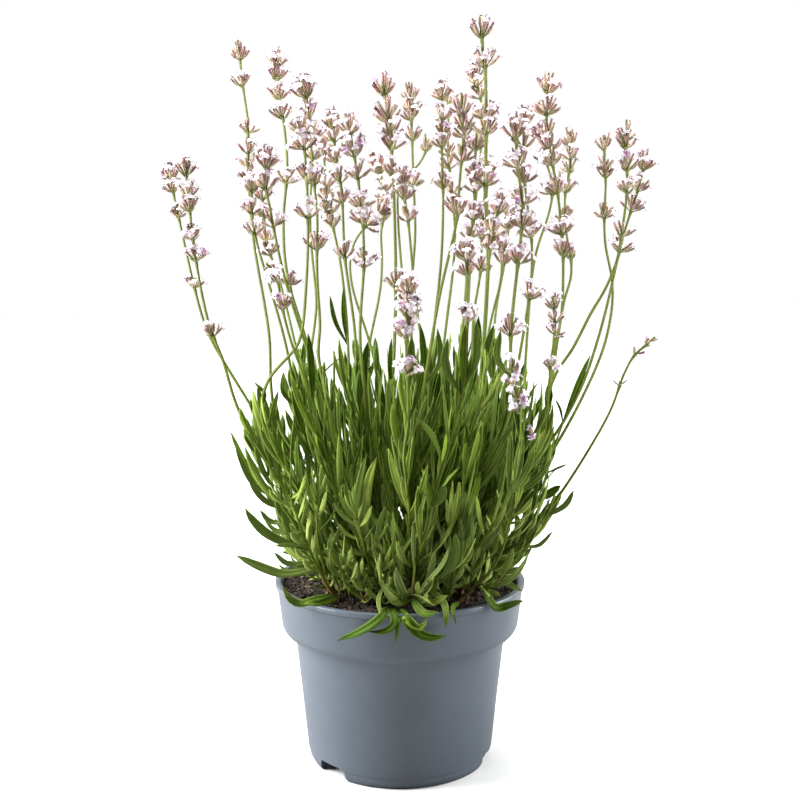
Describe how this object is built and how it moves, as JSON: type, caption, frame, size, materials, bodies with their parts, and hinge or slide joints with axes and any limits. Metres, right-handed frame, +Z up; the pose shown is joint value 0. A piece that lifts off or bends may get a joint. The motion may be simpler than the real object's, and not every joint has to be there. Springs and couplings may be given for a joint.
{
  "type": "potted lavender",
  "caption": "Flowering lavender clump with thin whorled flower spikes and narrow leaves, rooted in soil in a round tapered plastic nursery pot with a stepped collar.",
  "frame": {"origin": "middle of the pot's foot, on the surface the pot stands on, with the clump's footprint centred over it", "axes": "+Z up along the pot's axis, -Y towards the side seen first, +X to that side's right"},
  "size_m": [0.2898, 0.1861, 0.4321],
  "materials": {
    "pot_plastic": "satin moulded blue-grey plastic",
    "soil": "dark crumbly peat",
    "bark": "rough brown bark",
    "flower_stem": "downy green stem with mauve-brown flower cups",
    "foliage": "matte green leaf with pale edges"
  },
  "bodies": {
    "root": {"pot": "pot_plastic", "soil": "soil", "woody_crown": "bark", "flower_stem_01": "flower_stem", "flower_stem_02": "flower_stem", "flower_stem_03": "flower_stem", "flower_stem_04": "flower_stem", "flower_stem_05": "flower_stem", "flower_stem_06": "flower_stem", "flower_stem_07": "flower_stem", "flower_stem_08": "flower_stem", "flower_stem_09": "flower_stem", "flower_stem_10": "flower_stem", "flower_stem_11": "flower_stem", "flower_stem_12": "flower_stem", "flower_stem_13": "flower_stem", "flower_stem_14": "flower_stem", "flower_stem_15": "flower_stem", "flower_stem_16": "flower_stem", "flower_stem_17": "flower_stem", "flower_stem_18": "flower_stem", "flower_stem_19": "flower_stem", "flower_stem_20": "flower_stem", "flower_stem_21": "flower_stem", "flower_stem_22": "flower_stem", "flower_stem_23": "flower_stem", "flower_stem_24": "flower_stem", "flower_stem_25": "flower_stem", "flower_stem_26": "flower_stem", "flower_stem_27": "flower_stem", "flower_stem_28": "flower_stem", "flower_stem_29": "flower_stem", "flower_stem_30": "flower_stem", "flower_stem_31": "flower_stem", "flower_stem_32": "flower_stem", "flower_stem_33": "flower_stem", "flower_stem_34": "flower_stem", "flower_stem_35": "flower_stem", "flower_stem_36": "flower_stem", "flower_stem_37": "flower_stem", "flower_stem_38": "flower_stem", "flower_stem_39": "flower_stem", "flower_stem_40": "flower_stem", "flower_stem_41": "flower_stem", "flower_stem_42": "flower_stem", "flower_stem_43": "flower_stem", "leafy_shoot_01": "foliage", "leafy_shoot_02": "foliage", "leafy_shoot_03": "foliage", "leafy_shoot_04": "foliage", "leafy_shoot_05": "foliage", "leafy_shoot_06": "foliage", "leafy_shoot_07": "foliage", "leafy_shoot_08": "foliage", "leafy_shoot_09": "foliage", "leafy_shoot_10": "foliage", "leafy_shoot_11": "foliage", "leafy_shoot_12": "foliage", "leafy_shoot_13": "foliage", "leafy_shoot_14": "foliage"}
  },
  "joints": []
}
